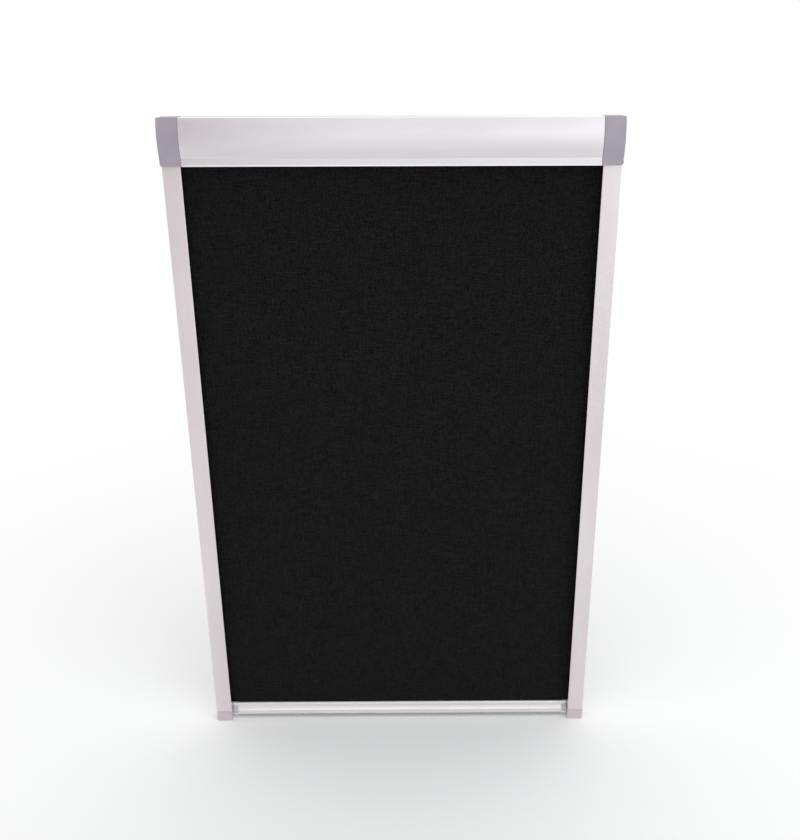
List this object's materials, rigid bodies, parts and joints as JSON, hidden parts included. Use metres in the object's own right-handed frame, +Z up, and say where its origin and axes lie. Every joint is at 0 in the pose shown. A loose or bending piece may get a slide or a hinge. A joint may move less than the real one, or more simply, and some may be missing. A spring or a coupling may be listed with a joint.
{
  "type": "skylight window blind",
  "caption": "Blackout roller blind for a roof window: bulged aluminium headbox, side rails that guide black cloth, and a sliding bottom bar with a finger ledge.",
  "frame": {"origin": "middle of the headbox's flat back, which lies against the window", "axes": "+Z up the slope of the window, from the bottom bar to the headbox; +Y to the glass; -Y into the room; +X to the right as seen from the room"},
  "size_m": [0.612, 0.0371, 0.965],
  "materials": {
    "anodised_aluminium": "fine satin, anodised silver",
    "mill_aluminium": "plain extruded",
    "grey_plastic": "moulded, slightly textured",
    "pale_plastic": "moulded, slightly textured",
    "acetal": "smooth moulded, off-white",
    "steel": "zinc plated",
    "spring_steel": "oiled wire",
    "cloth": "black blackout cloth, fine plain weave",
    "pile": "dense woven pile",
    "rubber": "matt"
  },
  "bodies": {
    "frame": {"headbox_cover": "anodised_aluminium", "headbox_back": "anodised_aluminium", "left_end_cap": "grey_plastic", "right_end_cap": "grey_plastic", "left_upper_cap_screw": "steel", "left_lower_cap_screw": "steel", "right_upper_cap_screw": "steel", "right_lower_cap_screw": "steel", "left_rail": "anodised_aluminium", "right_rail": "anodised_aluminium", "left_rail_cap": "pale_plastic", "right_rail_cap": "pale_plastic", "left_front_pile": "pile", "left_back_pile": "pile", "right_front_pile": "pile", "right_back_pile": "pile", "slot_brush": "pile", "idler_bush": "acetal", "spindle_seat": "steel", "drive_spindle": "steel", "spring_anchor": "acetal", "drive_spring": "spring_steel", "fabric": "cloth"},
    "roller": {"roller_tube": "mill_aluminium", "roller_strip": "acetal", "fabric_roll": "cloth", "idler_plug": "acetal", "drive_plug": "acetal", "spindle_guide": "acetal", "idler_spring": "spring_steel"},
    "pin": {"idler_pin": "steel"},
    "bar": {"bottom_bar": "anodised_aluminium", "bar_keder": "acetal", "bar_seal": "rubber", "left_bar_end": "pale_plastic", "right_bar_end": "pale_plastic", "left_brake_spring": "spring_steel", "right_brake_spring": "spring_steel"},
    "left_brake": {"left_brake_pad": "rubber"},
    "right_brake": {"right_brake_pad": "rubber"}
  },
  "joints": [
    {"name": "bar_slide", "type": "slide", "parent": "frame", "child": "bar", "axis": [0, 0, 1], "range_m": [0, 0.876], "deforming": ["fabric"]},
    {"name": "roller_spin", "type": "hinge", "parent": "frame", "child": "roller", "pos_m": [0, -0.01937, 0.008], "axis": [1, 0, 0], "range_deg": [0, 3856]},
    {"name": "pin_press", "type": "slide", "parent": "roller", "child": "pin", "axis": [1, 0, 0], "range_m": [0, 0.005], "stiffness_N_per_m": 300, "springref_m": -0.01, "deforming": ["idler_spring"]},
    {"name": "left_brake_press", "type": "slide", "parent": "bar", "child": "left_brake", "axis": [0, -1, 0], "range_m": [0, 0.0015], "stiffness_N_per_m": 400, "springref_m": -0.004, "deforming": ["left_brake_spring"]},
    {"name": "right_brake_press", "type": "slide", "parent": "bar", "child": "right_brake", "axis": [0, -1, 0], "range_m": [0, 0.0015], "stiffness_N_per_m": 400, "springref_m": -0.004, "deforming": ["right_brake_spring"]}
  ],
  "couplings": [
    {"joint": "roller_spin", "follows": "bar_slide", "rad_per_m": 76.822}
  ]
}
